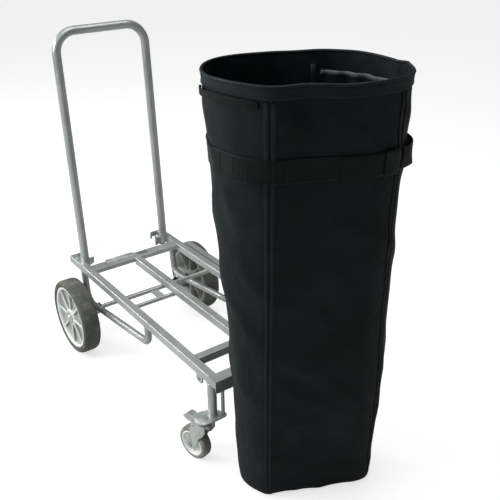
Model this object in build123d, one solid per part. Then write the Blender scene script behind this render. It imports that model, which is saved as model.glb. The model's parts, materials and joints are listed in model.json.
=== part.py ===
from build123d import *
import math
import os

# A housekeeping cart: a tubular deck frame on two large wheels and two braked swivel casters,
# with a push handle at the rear and a free-standing linen bag in front.
# Millimetres. X runs across the cart, left is -X, -Y is the caster end, +Y the handle end, +Z is up.
# The pieces are drawn with Y = 0 at the rear of the deck and Z = 0 on the floor. place_parts()
# then moves them all so that the origin is the middle of the footprint, on the floor.

# ---- deck frame ----
deck_length = 898.0        # rear face of the end plates to front face of the nose
deck_width = 367.0         # over the two side rails
deck_height = 283.0        # floor to the top of the rails
rail_size = 25.0           # square tube
rail_wall = 1.5
rail_corner = 3.0          # outer corner radius
end_plate_thickness = 4.0
end_plate_inset = 28.0     # how far the end plate reaches in from the rail
end_plate_tail = 32.0      # how far its tail hangs below the rail
end_hole_radius = 4.5
end_hole_drop = 21.0       # below the deck top
hook_tooth = 6.0
cross_depth = 40.0         # rear cross member, along Y
cross_rear_gap = 112.0     # deck rear to the cross member
cross_lip = 14.5
sheet = 2.5                # folded sheet thickness
slot_length = 40.0         # hand slot
slot_width = 20.0
slot_centre_x = 28.0
slot_offset = 4.0          # slot behind the middle of the cross member
blank_length = 103.0       # blank plate on the cross member
blank_width = 29.0
blank_thickness = 1.2
blank_centre_x = -52.0
blank_inset = 8.5          # cross member's rear edge to the plate's middle
blank_rivet_inset = 12.0
rivet_inset = 17.0         # cross member's rear edge to the rivets
rivet_radius = 3.2
stay_bar_radius = 7.0      # round bars under the deck
rear_bar_y = 330.0         # distances from the deck rear
front_bar_y = 393.0
bridge_width = 26.0
bridge_centre_x = -46.0
bridge_thickness = 3.0
front_tube_setback = 128.5 # nose to the front cross tubes
nose_flange = 34.0         # nose angle, top leg
nose_drop = 37.0           # nose angle, front leg
nose_thickness = 3.0
deck_bolt_ys = (35.0, 78.0)
deck_bolt_radius = 5.0

# ---- handle ----
handle_tube_radius = 13.5
handle_tube_wall = 1.5
handle_outset = 5.75       # rail's inner face to the upright's centre
handle_height = 1032.0     # floor to the centre of the grip
handle_y = 58.0            # deck rear to the upright, at deck height
handle_lean = 3.13         # degrees back from upright
handle_bend = 65.0
handle_cope = 20.0         # how far the uprights reach below the deck top
gusset_reach = 18.0
gusset_height = 38.0

# ---- side hoops, axle and rear wheels ----
hoop_radius = 10.5
hoop_wall = 1.5
hoop_rear_y = 80.0
hoop_heel_y = 96.0
hoop_heel_rise = 15.0      # above the axle
hoop_toe_y = 519.0
hoop_toe_rise = 70.0
hoop_heel_bend = 36.0
hoop_toe_bend = 26.0
hoop_cope = 5.0            # extra length that the rail's underside trims
wheel_diameter = 254.0
tyre_width = 57.0
tyre_depth = 21.0
wheel_overhang = 79.5      # deck side to the outer face of the tyre
axle_y = 131.0
axle_radius = 7.5
axle_bracket_width = 27.0
axle_bracket_length = 36.0
collar_radius = 14.0
collar_width = 11.0
set_screw_radius = 4.0
set_screw_gap = 1.0
spacer_wall = 5.0
running_gap = 0.05         # a shaft in its bush
fit_gap = 0.1              # a fixed piece in its hole
end_play = 0.5             # beside a turning hub
hub_boss_radius = 24.0
hub_rim_thickness = 9.0
hub_rim_recess = 3.0       # rim edge behind the tyre's side
hub_web = 4.0
hub_boss_proud = 2.5       # boss past the tyre's inner side
hub_boss_sink = 2.0        # boss behind the tyre's outer side
rib_count = 8
rib_thickness = 4.0
rib_recess = 5.0           # ribs behind the rim's edge
bush_wall = 3.5
bush_length = 24.0
cap_radius = 19.0
cap_height = 7.0
cap_skin = 2.2

# ---- front legs and casters ----
leg_radius = 12.5
leg_wall = 1.5
leg_setback = 38.0         # nose to the legs' centre
caster_offset = (25.0, -4.0)   # leg to the swivel axis: outwards, forwards
caster_trail = 38.0
caster_radius = 50.0
caster_width = 30.0
caster_tyre_depth = 12.0
caster_turns = {"left": 12.0, "right": -9.0}   # degrees from straight ahead
caster_headroom = 50.0     # caster wheel to the top of the mount plate
mount_plate_thickness = 4.0
mount_plate_radius = 28.0
race_radius = 22.0
race_height = 5.0
swivel_gap = 2.6
kingpin_radius = 6.0
pin_head_gap = 0.3         # under the fork's crown
crown_radius = 25.0
fork_sheet = 3.0
fork_gap = 2.5             # tyre side to fork leg
fork_crown_depth = 9.0
fork_end_radius = 13.0
bolt_radius = 4.0
bolt_head_radius = 7.0
bolt_head_height = 4.5
pedal_pivot_y = 26.0
pedal_pivot_drop = 17.0    # below the crown's top
pedal_pin_radius = 3.0
pedal_width = 42.0
pedal_length = 40.0        # behind the pivot
pedal_rise = 9.0
pedal_sheet = 3.0
tread_clearance = 10.0     # crown to the wide part of the pedal
stay_radius = 5.0
stay_offset = (-24.0, 14.0)    # leg to the stay
lug_thickness = 4.0
lug_setback = 86.0         # nose to the lug
lug_length = 28.0
lug_drop = 26.0
lug_hole_radius = 5.0
leg_gusset_size = 26.0
leg_gusset_thickness = 5.0

# ---- side strip, right side only ----
strip_axle_gap = 29.0      # axle to the strip's rear end
strip_tyre_gap = 8.0       # least gap where the tyre reaches the strip's height
strip_length = 470.0
strip_width = 20.0
strip_drop = 21.0
strip_gap = 3.5
strip_bolt_radius = 5.0

# ---- bag ----
bag_height = 1110.0
bag_turn = -27.0           # degrees about the vertical
bag_base_x = 7.0
bag_standoff = 94.0        # caster's sweep to the middle of the bag's foot
bag_base_size = (343.0, 165.0)
bag_base_corner = 70.0
bag_lean = (-83.0, -56.0)  # foot's middle to mouth's middle
bag_mouth_size = (408.0, 302.0)
bag_mouth_corner = 138.0
bag_wall = 4.0
bag_gap = 0.3              # between a sewn-on piece and the shell
hem_height = 30.0
hem_thickness = 2.5
belt_height = 54.0
belt_drop = 142.0          # bag mouth to the belt's upper edge
belt_thickness = 3.0
grip_height = 30.0
grip_drop = 42.0           # bag mouth to the grip's upper edge
grip_reach = 95.0          # how far the grip wraps back from the bag's end
board_thickness = 6.0

# ---- worked out from the sizes above ----
deck_half = deck_width / 2
rail_x = deck_half - rail_size / 2
rail_bottom = deck_height - rail_size
rail_inner = deck_half - rail_size
handle_x = rail_inner - handle_outset
slot_centre_y = cross_rear_gap + cross_depth / 2 - slot_offset
blank_centre_y = cross_rear_gap + blank_inset
blank_rivet_y = cross_rear_gap + rivet_inset
front_tube_y = deck_length - front_tube_setback
wheel_radius = wheel_diameter / 2
wheel_outer = deck_half + wheel_overhang
wheel_inner = wheel_outer - tyre_width
wheel_middle = wheel_outer - tyre_width / 2
stay_bar_z = rail_bottom - stay_bar_radius
hoop_heel_height = wheel_radius + hoop_heel_rise
hoop_toe_height = wheel_radius + hoop_toe_rise
leg_y = deck_length - leg_setback
caster_x, caster_y = rail_x + caster_offset[0], leg_y + caster_offset[1]
stay_x, stay_y = rail_x + stay_offset[0], leg_y + stay_offset[1]
lug_y = deck_length - lug_setback
mount_plate_top = 2 * caster_radius + caster_headroom
strip_low = deck_height - strip_drop
tyre_reach = math.sqrt(max(0.0, wheel_radius ** 2 - (strip_low - wheel_radius) ** 2))
strip_rear_y = axle_y + max(strip_axle_gap, tyre_reach + strip_tyre_gap)
bag_base_centre = (bag_base_x, -caster_y - caster_trail - caster_radius - bag_standoff)
bag_mouth_centre = (bag_base_x + bag_lean[0], bag_base_centre[1] + bag_lean[1])
boss_span = (-tyre_width / 2 - hub_boss_proud, tyre_width / 2 - hub_boss_sink)
plate_under = mount_plate_top - mount_plate_thickness
crown_top = plate_under - race_height - swivel_gap
fork_inner = caster_width / 2 + fork_gap
sides = {"left": -1, "right": 1}


def block(x0, x1, y0, y1, z0, z1):
    """A box between two corners, given in any order."""
    size = (abs(x1 - x0), abs(y1 - y0), abs(z1 - z0))
    return Pos((x0 + x1) / 2, (y0 + y1) / 2, (z0 + z1) / 2) * Box(*size)


def rod_x(radius, x0, x1, y, z):
    """A round bar along X."""
    return Pos((x0 + x1) / 2, y, z) * Rot(0, 90, 0) * Cylinder(radius, abs(x1 - x0))


def rod_z(radius, x, y, z0, z1):
    """A round bar along Z."""
    return Pos(x, y, (z0 + z1) / 2) * Cylinder(radius, abs(z1 - z0))


def bent_tube(points, bends, radius, wall):
    """A round tube along straight runs joined by arcs."""
    path = FilletPolyline(*points, radius=bends)
    start = Plane(origin=path @ 0, z_dir=path % 0)
    solid = sweep(start * Circle(radius), path=path)
    if wall:
        solid -= sweep(start * Circle(radius - wall), path=path)
    return solid


def side_extrude(sketch, x0, x1):
    """A sketch whose X is the cart's Y and whose Y is the cart's Z, extruded from x0 to x1."""
    face = Plane(origin=(x0, 0, 0), x_dir=(0, 1, 0), z_dir=(1, 0, 0)) * sketch
    return extrude(face, amount=x1 - x0, dir=(1, 0, 0))


def rear_face(y):
    """Upright plane across the cart at y, facing the caster end."""
    return Plane(origin=(0, y, 0), x_dir=(1, 0, 0), z_dir=(0, -1, 0))


# ------------------------------------------------------------------ deck frame
def nose_angle():
    """Pressed angle across the front, its lower corners rounded."""
    top = block(-deck_half, deck_half, -deck_length, nose_flange - deck_length,
                deck_height - nose_thickness, deck_height)
    front = block(-deck_half, deck_half, -deck_length, nose_thickness - deck_length,
                  deck_height - nose_drop, deck_height)
    corners = front.edges().filter_by(Axis.Y).group_by(Axis.Z)[0]
    return top + fillet(corners, nose_drop / 4)


def square_rail(x, y_rear, y_front):
    """Hollow square rail along Y at height of the deck."""
    rail = block(x - rail_size / 2, x + rail_size / 2, y_rear, y_front, rail_bottom, deck_height)
    inner = rail_size / 2 - rail_wall
    bore = block(x - inner, x + inner, y_rear, y_front, rail_bottom + rail_wall, deck_height - rail_wall)
    return fillet(rail.edges().filter_by(Axis.Y), rail_corner) - bore


def side_rail(side):
    rail = square_rail(side * rail_x, -end_plate_thickness, nose_thickness - deck_length)
    return rail - nose_angle()


def centre_rail():
    rail = square_rail(0, -cross_rear_gap - cross_depth, nose_thickness - deck_length)
    return rail - nose_angle()


def end_plate(side):
    """Plate across the rear of a side rail, with a hook notch and a hole inboard of the rail."""
    inner = rail_inner - end_plate_inset
    tail = rail_inner - end_plate_inset / 3
    throat = (inner + hook_tooth + tail) / 2
    outline = Polyline(
        (deck_half, deck_height), (inner, deck_height), (inner, rail_bottom - 1),
        (inner + hook_tooth, rail_bottom - 1), (inner + hook_tooth, rail_bottom + hook_tooth),
        (throat, rail_bottom + 1.5 * hook_tooth), (tail, rail_bottom + hook_tooth / 2),
        (tail, rail_bottom - end_plate_tail), (rail_inner, rail_bottom - end_plate_tail),
        (rail_inner, rail_bottom), (deck_half, rail_bottom), close=True)
    face = make_face(outline)
    face = fillet(face.vertices().sort_by(Axis.Y)[-2:], hook_tooth)
    face -= Pos(rail_inner - 2, deck_height - end_hole_drop) * Circle(end_hole_radius)
    plate = extrude(rear_face(0) * face, amount=end_plate_thickness)
    return plate if side > 0 else mirror(plate, Plane.YZ)


def rear_cross_member():
    """Folded channel between the side rails, open side down, with a hand slot."""
    y_rear, y_front = -cross_rear_gap, -cross_rear_gap - cross_depth
    body = block(-rail_inner, rail_inner, y_rear, y_front, deck_height - cross_lip, deck_height)
    body = fillet(body.edges().filter_by(Axis.X).group_by(Axis.Z)[-1], sheet * 0.8)
    body -= block(-rail_inner, rail_inner, y_rear - sheet, y_front + sheet,
                  deck_height - cross_lip, deck_height - sheet)
    slot = Pos(slot_centre_x, -slot_centre_y, deck_height) * extrude(
        RectangleRounded(slot_length, slot_width, slot_width / 5), amount=sheet * 2, both=True)
    return body - slot


def blank_plate():
    return Pos(blank_centre_x, -blank_centre_y, deck_height) * extrude(
        RectangleRounded(blank_length, blank_width, 2), amount=blank_thickness)


def dome_head(radius, x, y, z):
    """Domed rivet or bolt head standing on z."""
    ball_size = radius * 1.25
    dome = Pos(x, y, z - math.sqrt(ball_size ** 2 - radius ** 2)) * Sphere(ball_size)
    return dome & rod_z(radius, x, y, z, z + ball_size)


def blank_plate_rivets():
    reach = blank_length / 2 - blank_rivet_inset
    top = deck_height + blank_thickness
    return [dome_head(rivet_radius, blank_centre_x + s * reach, -blank_rivet_y, top) for s in (-1, 1)]


def deck_bolts():
    return [dome_head(deck_bolt_radius, s * rail_x, -y, deck_height) for s in (-1, 1) for y in deck_bolt_ys]


def rear_stay_bar():
    return rod_x(stay_bar_radius, -rail_x, rail_x, -rear_bar_y, stay_bar_z)


def front_stay_bar():
    return rod_x(stay_bar_radius, -rail_x, rail_size / 4, -front_bar_y, stay_bar_z)


def bridge_plate():
    """Strap between the two stay bars, coped against them."""
    half_width, half_thickness = bridge_width / 2, bridge_thickness / 2
    strap = block(bridge_centre_x - half_width, bridge_centre_x + half_width, -rear_bar_y, -front_bar_y,
                  stay_bar_z - half_thickness, stay_bar_z + half_thickness)
    return strap - rear_stay_bar() - front_stay_bar()


def front_cross_tube(side):
    """Square tube between the centre rail and a side rail."""
    x0, x1 = side * rail_size / 2, side * rail_inner
    half = rail_size / 2
    tube = block(x0, x1, -front_tube_y - half, -front_tube_y + half, rail_bottom, deck_height)
    tube = fillet(tube.edges().filter_by(Axis.X), rail_corner)
    inner = half - rail_wall
    return tube - block(x0, x1, -front_tube_y - inner, -front_tube_y + inner,
                        rail_bottom + rail_wall, deck_height - rail_wall)


# ---------------------------------------------------------------------- handle
def upright_point(side, height):
    back = math.tan(math.radians(handle_lean)) * (height - deck_height)
    return (side * handle_x, -handle_y + back, height)


def rail_envelope(side):
    """Outer shape of a side rail, for coping what is welded to it."""
    return block(side * rail_inner, side * deck_half, 0, -deck_length, rail_bottom, deck_height)


def handle_tube(wall):
    foot = deck_height - handle_cope
    points = [upright_point(-1, foot), upright_point(-1, handle_height),
              upright_point(1, handle_height), upright_point(1, foot)]
    return bent_tube(points, handle_bend, handle_tube_radius, wall)


def handle():
    """One bent tube, its ends coped over the inner top edges of the side rails."""
    return handle_tube(handle_tube_wall) - rail_envelope(-1) - rail_envelope(1)


def handle_gusset(side):
    """Fin between an upright's foot and the inner face of its rail."""
    inner = handle_x - handle_tube_radius - gusset_reach
    outline = Polyline((rail_inner, deck_height), (inner, deck_height + 1),
                       (inner, deck_height - gusset_height / 2),
                       (rail_inner, deck_height - gusset_height), close=True)
    fin = extrude(rear_face(-handle_y) * make_face(outline), amount=sheet / 2, both=True)
    fin = fin if side > 0 else mirror(fin, Plane.YZ)
    return fin - handle_tube(0)


# --------------------------------------------------- side hoops, axle and wheels
def hoop_points(side):
    return [(side * rail_x, -hoop_rear_y, rail_bottom), (side * rail_x, -hoop_heel_y, hoop_heel_height),
            (side * rail_x, -hoop_toe_y, hoop_toe_height), (side * rail_x, -hoop_toe_y, rail_bottom)]


def side_hoop(side):
    """Bent tube under a side rail: rear leg, axle run and front return."""
    points = hoop_points(side)
    slope = (hoop_heel_y - hoop_rear_y) / (rail_bottom - hoop_heel_height)
    x, y, z = points[0]
    points[0] = (x, y + hoop_cope * slope, z + hoop_cope)
    tube = bent_tube(points, [hoop_heel_bend, hoop_toe_bend], hoop_radius, hoop_wall)
    return tube - rail_envelope(side)


def axle():
    reach = wheel_outer - hub_boss_sink + 1
    return rod_x(axle_radius, -reach, reach, -axle_y, wheel_radius)


def axle_bracket(side):
    """Block welded under the hoop, bored for the axle."""
    x0, x1 = side * (rail_x - axle_bracket_width / 2), side * (rail_x + axle_bracket_width / 2)
    half = axle_bracket_length / 2
    body = block(x0, x1, -axle_y - half, -axle_y + half,
                 wheel_radius - 2 * axle_radius, wheel_radius + axle_radius + hoop_radius)
    body = fillet(body.edges().filter_by(Axis.X).group_by(Axis.Z)[0], axle_radius)
    solid_hoop = bent_tube(hoop_points(side), [hoop_heel_bend, hoop_toe_bend], hoop_radius, 0)
    return body - rod_x(axle_radius + fit_gap, x0, x1, -axle_y, wheel_radius) - solid_hoop


def axle_collars():
    """Set collars inboard of the brackets and spacer rings between the brackets and the wheels."""
    pieces = []
    bracket_inner = rail_x - axle_bracket_width / 2
    bracket_outer = rail_x + axle_bracket_width / 2
    for side in sides.values():
        x0, x1 = side * (bracket_inner - collar_width), side * bracket_inner
        screw = rod_z(set_screw_radius, (x0 + x1) / 2, -axle_y, wheel_radius + axle_radius + set_screw_gap,
                      wheel_radius + collar_radius + set_screw_radius)
        collar = rod_x(collar_radius, x0, x1, -axle_y, wheel_radius) + screw
        x2, x3 = side * bracket_outer, side * (wheel_inner - hub_boss_proud - end_play)
        spacer = rod_x(axle_radius + spacer_wall, x2, x3, -axle_y, wheel_radius)
        bore = rod_x(axle_radius + fit_gap, x0, x3, -axle_y, wheel_radius)
        pieces += [collar - bore, spacer - bore]
    return pieces


def at_wheel(side, solid):
    """Moves a wheel piece drawn about the X axis, outer side towards +X, to its axle end."""
    turned = solid if side > 0 else mirror(solid, Plane.YZ)
    return Pos(side * wheel_middle, -axle_y, wheel_radius) * turned


def rear_tyre(side):
    half = tyre_width / 2
    inner = wheel_radius - tyre_depth
    ring = Rot(0, 90, 0) * (Cylinder(wheel_radius, tyre_width) - Cylinder(inner, tyre_width))
    ring = fillet(ring.edges().filter_by(GeomType.CIRCLE).sort_by(SortBy.RADIUS)[-2:], half / 3)
    return at_wheel(side, ring)


def hub_ring(outer, inner, x0, x1):
    """Ring about the X axis between x0 and x1."""
    ring = Cylinder(outer, x1 - x0) - Cylinder(inner, x1 - x0)
    return Pos((x0 + x1) / 2, 0, 0) * Rot(0, 90, 0) * ring


def rear_hub(side):
    """Moulded hub: rim, web, radial ribs and boss."""
    half = tyre_width / 2
    rim_outer = wheel_radius - tyre_depth
    rim_inner = rim_outer - hub_rim_thickness
    rim_half = half - hub_rim_recess
    bore = axle_radius + bush_wall + running_gap
    hub = hub_ring(rim_outer, rim_inner, -rim_half, rim_half)
    hub += hub_ring(rim_inner + 1, bore, -hub_web / 2, hub_web / 2)
    hub += hub_ring(hub_boss_radius, bore, *boss_span)
    rib_reach = rim_inner - hub_boss_radius + 2
    rib_middle = (rim_inner + hub_boss_radius) / 2
    rib = Pos(0, 0, rib_middle) * Box(2 * (rim_half - rib_recess), rib_thickness, rib_reach)
    for i in range(rib_count):
        hub += Rot(360 / rib_count * i, 0, 0) * rib
    return at_wheel(side, hub)


def hub_bushes(side):
    """Plain bush pressed in each end of the hub's bore."""
    outer, inner = axle_radius + bush_wall, axle_radius + running_gap
    spans = [(boss_span[0], boss_span[0] + bush_length), (boss_span[1] - bush_length, boss_span[1])]
    return [at_wheel(side, hub_ring(outer, inner, *span)) for span in spans]


def hub_cap(side):
    """Domed cap over the axle end, clipped on the boss."""
    seat = boss_span[1]
    outline = Polyline((seat, 0), (seat, cap_radius), (seat + cap_height * 0.4, cap_radius),
                       (seat + cap_height * 0.85, cap_radius * 0.7), (seat + cap_height, 0), close=True)
    dome = revolve(make_face(outline), axis=Axis.X)
    hollow = Pos(seat, 0, 0) * Rot(0, 90, 0) * Cylinder(axle_radius + 2, 2 * (cap_height - cap_skin))
    return at_wheel(side, dome - hollow)


# ------------------------------------------------------------- legs and casters
def front_leg(side):
    tube = rod_z(leg_radius, side * rail_x, -leg_y, mount_plate_top, rail_bottom)
    return tube - rod_z(leg_radius - leg_wall, side * rail_x, -leg_y, mount_plate_top, rail_bottom)


def leg_gusset(side):
    """Curved web between the rear of a front leg and the underside of its rail."""
    y0 = -leg_y + leg_radius * 0.6
    size = leg_gusset_size
    corner = Pos(y0 + size / 2, rail_bottom - size / 2) * Rectangle(size, size)
    corner -= Pos(y0 + size, rail_bottom - size) * Circle(size * 0.9)
    half = leg_gusset_thickness / 2
    web = side_extrude(corner, side * rail_x - half, side * rail_x + half)
    return web - rod_z(leg_radius, side * rail_x, -leg_y, mount_plate_top, rail_bottom)


def mount_plate(side):
    """Offset plate: the leg stands on its inner end and the caster hangs from its outer end."""
    lobes = [(rail_x, -leg_y, leg_radius * 2), (caster_x, -caster_y, mount_plate_radius),
             (stay_x, -stay_y, stay_radius * 2)]
    edges = []
    for x, y, radius in lobes:
        edges += (Pos(x, y) * Circle(radius)).edges()
    face = make_face(make_hull(edges))
    plate = extrude(face, amount=mount_plate_thickness)
    plate = plate if side > 0 else mirror(plate, Plane.YZ)
    return Pos(0, 0, mount_plate_top - mount_plate_thickness) * plate


def leg_stays():
    top = deck_height - nose_thickness
    return [rod_z(stay_radius, s * stay_x, -stay_y, mount_plate_top, top) for s in sides.values()]


def strap_lugs():
    """Drilled lug under each side rail."""
    profile = Pos(-lug_y, rail_bottom - lug_drop / 2) * Rectangle(lug_length, lug_drop)
    profile = fillet(profile.vertices().group_by(Axis.Y)[0], lug_drop / 3)
    profile -= Pos(-lug_y, rail_bottom - lug_drop / 2 - 1) * Circle(lug_hole_radius)
    middle = deck_half - 1.5 * lug_thickness
    return [side_extrude(profile, s * middle - lug_thickness / 2, s * middle + lug_thickness / 2)
            for s in sides.values()]


# Caster pieces are drawn for a caster facing straight ahead, with the swivel axis on Z,
# +Y towards the trailing wheel, and are then turned and moved to the leg.


def at_caster(side_name, solid):
    side = sides[side_name]
    return Pos(side * caster_x, -caster_y, 0) * Rot(0, 0, caster_turns[side_name]) * solid


def swivel_mount():
    """Race under the mount plate, and the riveted pin that the fork turns on."""
    race = rod_z(race_radius, 0, 0, plate_under - race_height, plate_under)
    race -= rod_z(kingpin_radius, 0, 0, plate_under - race_height, plate_under)
    low = crown_top - fork_crown_depth - pin_head_gap
    pin = rod_z(kingpin_radius, 0, 0, low, plate_under) + rod_z(kingpin_radius + 4, 0, 0, low - 3, low)
    return [race, pin]


def fork_leg_face():
    """Side view of a fork leg: wide at the crown, round at the bolt, hollowed at the front."""
    crown = Pos(4, crown_top - 10) * Rectangle(2 * crown_radius - 2, 20)
    eye = Pos(caster_trail, caster_radius) * Circle(fork_end_radius)
    face = make_face(make_hull(crown.edges() + eye.edges()))
    face -= Pos(-crown_radius, caster_radius + 14) * Circle(crown_radius * 1.5)
    return face - Pos(caster_trail, caster_radius) * Circle(bolt_radius + fit_gap)


def fork():
    """Pressed fork: round crown and two legs, bored for the kingpin and the pedal pin."""
    body = rod_z(crown_radius, 0, 0, crown_top - fork_crown_depth, crown_top)
    for s in (-1, 1):
        x0, x1 = s * fork_inner, s * (fork_inner + fork_sheet)
        body += side_extrude(fork_leg_face(), min(x0, x1), max(x0, x1))
    body -= rod_z(kingpin_radius + running_gap, 0, 0, crown_top - 2 * fork_crown_depth, crown_top + 1)
    pin_z = crown_top - pedal_pivot_drop
    return body - rod_x(pedal_pin_radius + fit_gap, -60, 60, pedal_pivot_y, pin_z)


def pin_x(radius, reach, y, z):
    """Pin across the fork."""
    return rod_x(radius, -reach, reach, y, z)


def fork_pins():
    """Wheel bolt with its hexagon head, its nut, and the pedal's pin."""
    reach = fork_inner + fork_sheet
    hexagon = Rot(0, 90, 0) * extrude(RegularPolygon(bolt_head_radius, 6), amount=bolt_head_height)
    bolt = rod_x(bolt_radius, -reach, reach + bolt_head_height, caster_trail, caster_radius)
    bolt += Pos(-reach - bolt_head_height, caster_trail, caster_radius) * hexagon
    nut = Pos(reach, caster_trail, caster_radius) * hexagon
    nut -= pin_x(bolt_radius + fit_gap / 2, 2 * reach, caster_trail, caster_radius)
    return [bolt, nut, pin_x(pedal_pin_radius, reach + 1.5, pedal_pivot_y, crown_top - pedal_pivot_drop)]


def caster_tyre():
    ring = Rot(0, 90, 0) * (Cylinder(caster_radius, caster_width)
                            - Cylinder(caster_radius - caster_tyre_depth, caster_width))
    ring = fillet(ring.edges().filter_by(GeomType.CIRCLE).sort_by(SortBy.RADIUS)[-2:], caster_width / 5)
    return Pos(0, caster_trail, caster_radius) * ring


def caster_hub():
    """Moulded hub with a recess on each side."""
    outer = caster_radius - caster_tyre_depth
    half = caster_width / 2
    boss = 11.0
    hub = Cylinder(outer, caster_width)
    for s in (-1, 1):
        dish = Pos(0, 0, s * half) * (Cylinder(outer - 6, half) - Cylinder(boss, half))
        hub -= dish
    hub += Cylinder(boss, 2 * (fork_inner - end_play))
    hub -= Cylinder(bolt_radius + running_gap, 3 * caster_width)
    return Pos(0, caster_trail, caster_radius) * Rot(0, 90, 0) * hub


def brake_pedal():
    """Pressed pedal: eye on the pin, tread plate behind the fork and a curled lip."""
    y0, z0 = pedal_pivot_y, crown_top - pedal_pivot_drop
    tip_y, tip_z = y0 + pedal_length, z0 + pedal_rise
    neck_half = fork_inner - end_play
    eye = rod_x(pedal_pin_radius + 3, -neck_half, neck_half, y0, z0)
    arm_outline = Polyline((y0, z0 + 1), (y0 + 14, z0 + 5), (tip_y - 4, tip_z + 2), (tip_y, tip_z),
                           (tip_y + 1, tip_z - 5), (tip_y - 2, tip_z - 5), (tip_y - 3, tip_z - 2),
                           (tip_y - 6, tip_z - 1), (y0 + 14, z0 + 5 - pedal_sheet), (y0, z0 - 3), close=True)
    profile = make_face(arm_outline)
    neck = side_extrude(profile, -neck_half, neck_half)
    tread = side_extrude(profile, -pedal_width / 2, pedal_width / 2)
    tread_y = crown_radius + tread_clearance
    behind_fork = block(-pedal_width, pedal_width, tread_y, tip_y + pedal_sheet, z0 - 20, z0 + 30)
    body = neck + (tread & behind_fork) + eye
    return body - rod_x(pedal_pin_radius + running_gap, -60, 60, y0, z0)


# ----------------------------------------------------------------- side strip
def side_strip():
    """Angle strip bolted along the outside of the right rail."""
    x0 = deck_half + strip_gap
    y0, y1 = -strip_rear_y, -strip_rear_y - strip_length
    top = block(x0, x0 + strip_width, y0, y1, deck_height - nose_thickness + 2, deck_height + 2)
    web = block(x0, x0 + nose_thickness, y0, y1, strip_low, deck_height + 2)
    return fillet((top + web).edges().filter_by(Axis.Z).sort_by(Axis.X)[-2:], 4)


def strip_bolts():
    """Spacer bolts that hold the strip off the rail."""
    z = deck_height - strip_drop / 2 - 2
    found = []
    for share in (0.1, 0.9):
        y = -strip_rear_y - share * strip_length
        spacer = rod_x(strip_bolt_radius + 1, deck_half, deck_half + strip_gap, y, z)
        head = rod_x(strip_bolt_radius, deck_half + strip_gap + nose_thickness,
                     deck_half + strip_gap + nose_thickness + 3, y, z)
        found += [spacer, head]
    return found


# ------------------------------------------------------------------------ bag
def bag_section(share, grow=0.0):
    """Rounded rectangle of the bag at a share of its height, grown or shrunk all round."""
    def between(base, mouth):
        return base + (mouth - base) * share
    x, y = map(between, bag_base_centre, bag_mouth_centre)
    width, depth = (between(*pair) + 2 * grow for pair in zip(bag_base_size, bag_mouth_size))
    corner = min(between(bag_base_corner, bag_mouth_corner) + grow, depth / 2 - 1)
    return Pos(x, y, share * bag_height) * Rot(0, 0, bag_turn) * RectangleRounded(width, depth, corner)


def bag_slice(z0, z1, grow):
    """Solid of the bag's outer shape between two heights."""
    return loft([bag_section(z0 / bag_height, grow), bag_section(z1 / bag_height, grow)])


def bag_shell():
    return bag_slice(0, bag_height, 0) - bag_slice(bag_wall, bag_height, -bag_wall)


def bag_ring(top, height, thickness):
    """Band round the outside of the bag."""
    z1 = bag_height - top
    return bag_slice(z1 - height, z1, bag_gap + thickness) - bag_slice(z1 - height, z1, bag_gap)


def bag_hem():
    return bag_ring(0, hem_height, hem_thickness)


def bag_belt():
    return bag_ring(belt_drop, belt_height, belt_thickness)


def bag_grips():
    """Webbing grip across each end of the bag, below the hem."""
    band = bag_ring(grip_drop, grip_height, belt_thickness)
    span = bag_mouth_size[0]
    frame = Pos(*bag_mouth_centre, bag_height - grip_drop) * Rot(0, 0, bag_turn)
    return [band & (frame * Pos(s * (span - grip_reach), 0, 0) * Box(span, span, 2 * grip_height))
            for s in (-1, 1)]


def bag_board():
    """Stiff board lying in the bottom of the bag."""
    z0 = bag_wall + bag_gap
    return bag_slice(z0, z0 + board_thickness, -bag_wall - 2)


# -------------------------------------------------------------------- assembly
single_parts = {
    "nose_angle": nose_angle, "centre_rail": centre_rail, "rear_cross_member": rear_cross_member,
    "blank_plate": blank_plate, "blank_plate_rivets": blank_plate_rivets, "deck_bolts": deck_bolts,
    "rear_stay_bar": rear_stay_bar, "front_stay_bar": front_stay_bar, "bridge_plate": bridge_plate,
    "handle": handle, "axle": axle, "axle_collars": axle_collars, "side_strip": side_strip,
    "strip_bolts": strip_bolts, "leg_stays": leg_stays, "strap_lugs": strap_lugs,
    "bag_shell": bag_shell, "bag_hem": bag_hem, "bag_belt": bag_belt, "bag_grips": bag_grips,
    "bag_board": bag_board,
}
sided_parts = {
    "side_rail": side_rail, "rail_end_plate": end_plate, "front_cross_tube": front_cross_tube,
    "handle_gusset": handle_gusset, "side_hoop": side_hoop, "axle_bracket": axle_bracket,
    "rear_tyre": rear_tyre, "rear_hub": rear_hub, "hub_bushes": hub_bushes, "hub_cap": hub_cap,
    "front_leg": front_leg, "leg_gusset": leg_gusset, "mount_plate": mount_plate,
}
caster_parts = {
    "swivel_mount": swivel_mount, "fork": fork, "fork_pins": fork_pins, "caster_tyre": caster_tyre,
    "caster_hub": caster_hub, "brake_pedal": brake_pedal,
}


def solids_of(made):
    """The plain solids of what a part's function returns."""
    made = made if isinstance(made, list) else [made]
    return [solid for shape in made for solid in shape.solids()]


def make_parts():
    """Every node's solids, by name."""
    parts = {name: solids_of(make()) for name, make in single_parts.items()}
    for side_name, side in sides.items():
        for name, make in sided_parts.items():
            parts[f"{name}_{side_name}"] = solids_of(make(side))
        for name, make in caster_parts.items():
            parts[f"{name}_{side_name}"] = [at_caster(side_name, solid) for solid in solids_of(make())]
    return parts


def place_parts(parts):
    """Moves everything so that the origin is the middle of the footprint, on the floor."""
    box = Compound([solid for solids in parts.values() for solid in solids]).bounding_box()
    shift = Pos(-(box.min.X + box.max.X) / 2, -(box.min.Y + box.max.Y) / 2, -box.min.Z)
    print("shift", *(round(value, 4) for value in shift.position))
    print("size", *(round(value, 3) for value in box.size))
    return {name: [shift * solid for solid in solids] for name, solids in parts.items()}


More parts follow.
